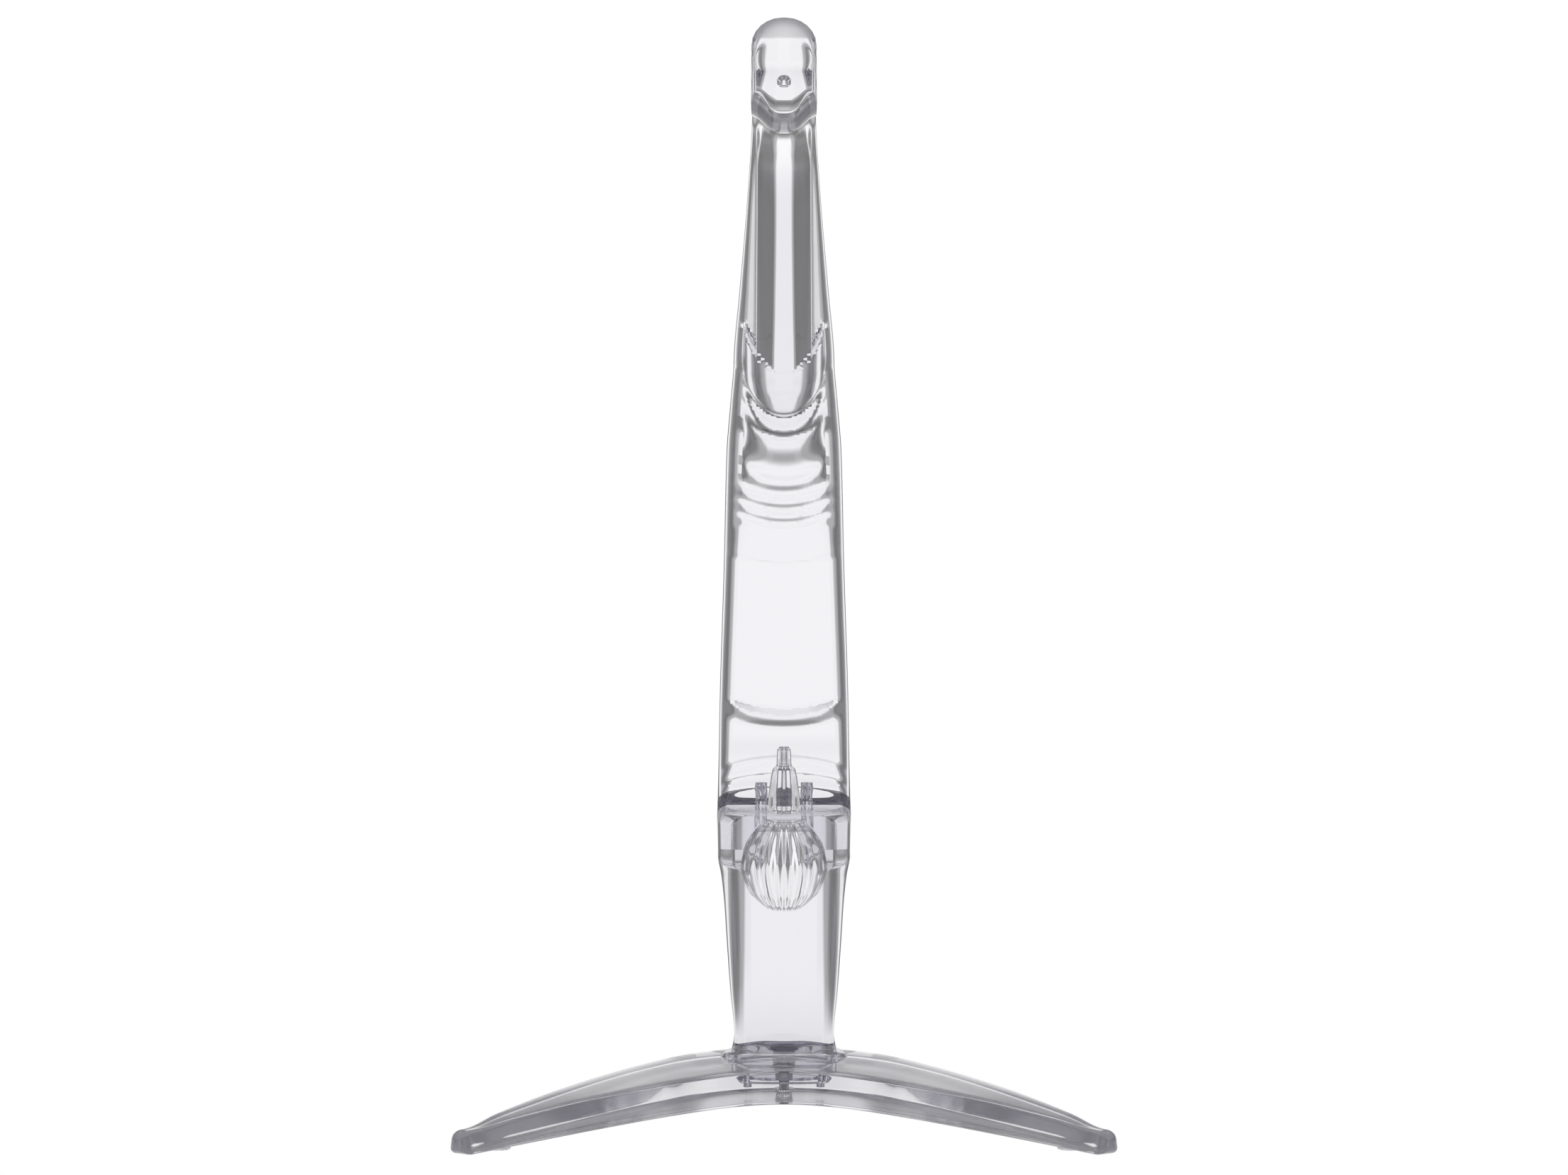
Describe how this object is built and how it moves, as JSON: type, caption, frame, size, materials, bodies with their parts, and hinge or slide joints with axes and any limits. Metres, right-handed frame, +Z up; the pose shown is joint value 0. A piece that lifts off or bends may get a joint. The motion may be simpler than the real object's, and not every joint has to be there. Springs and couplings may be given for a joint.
{
  "type": "headphone stand",
  "caption": "Clear moulded headphone stand: splayed base, post, C-shaped spine with a headband arm, and a low peg and fin for the cable.",
  "frame": {"origin": "centre of the bounding box in plan, on the surface that the pads stand on", "axes": "+Z up, the arm and the legs point to -Y, +X to the right seen from the front; the stand is symmetric about X = 0"},
  "size_m": [0.1554, 0.115, 0.2692],
  "materials": {
    "clear_body": "clear, polished",
    "clear_base": "clear, polished",
    "clear_pins": "clear, polished",
    "steel": "zinc plated",
    "soft_pads": "clear, soft, slightly frosted"
  },
  "bodies": {
    "root": {"base": "clear_base", "stem": "clear_body", "spine": "clear_body", "cable_peg": "clear_body", "cable_fin": "clear_body", "spine_dowel_left": "clear_pins", "spine_dowel_right": "clear_pins", "locating_pin_left": "clear_pins", "locating_pin_right": "clear_pins", "threaded_insert": "steel", "base_screw": "steel", "screw_washer": "steel", "tip_pad_left": "soft_pads", "tip_pad_right": "soft_pads", "heel_pad_left": "soft_pads", "heel_pad_right": "soft_pads"}
  },
  "joints": []
}
